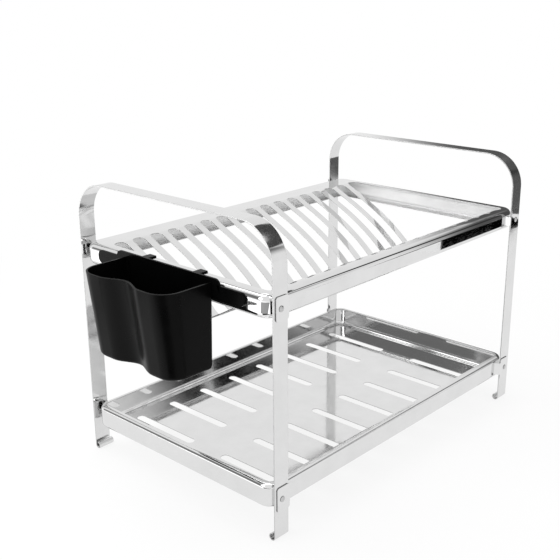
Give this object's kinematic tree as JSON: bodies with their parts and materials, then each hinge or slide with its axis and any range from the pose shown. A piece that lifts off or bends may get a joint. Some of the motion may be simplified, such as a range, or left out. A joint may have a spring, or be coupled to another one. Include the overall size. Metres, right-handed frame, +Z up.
{
  "type": "dish drainer",
  "caption": "Two-tier dish drainer of bent steel strip and pressed sheet, with a slatted plate rack over a slotted tray and a hook-on cutlery holder.",
  "frame": {"origin": "middle of the whole object's base, cutlery holder included, on the surface it stands on", "axes": "+X along the trays from the holder's end to the bare end, +Y from front to back, +Z up"},
  "size_m": [0.5034, 0.2886, 0.316],
  "materials": {
    "polished_steel": "mirror-polished stainless steel",
    "rivet_steel": "satin",
    "black_plastic": "smooth moulded, semi-gloss"
  },
  "bodies": {
    "drainer": {"left_end_frame": "polished_steel", "right_end_frame": "polished_steel", "lower_tray": "polished_steel", "upper_rack": "polished_steel", "rivet_lower_front_left": "rivet_steel", "rivet_lower_front_right": "rivet_steel", "rivet_lower_back_left": "rivet_steel", "rivet_lower_back_right": "rivet_steel", "rivet_upper_front_left": "rivet_steel", "rivet_upper_front_right": "rivet_steel", "rivet_upper_back_left": "rivet_steel", "rivet_upper_back_right": "rivet_steel"},
    "holder": {"cutlery_holder": "black_plastic"}
  },
  "joints": [
    {"name": "holder_lift", "type": "slide", "parent": "drainer", "child": "holder", "axis": [0, 0, 1], "range_m": [0, 0.04]}
  ]
}
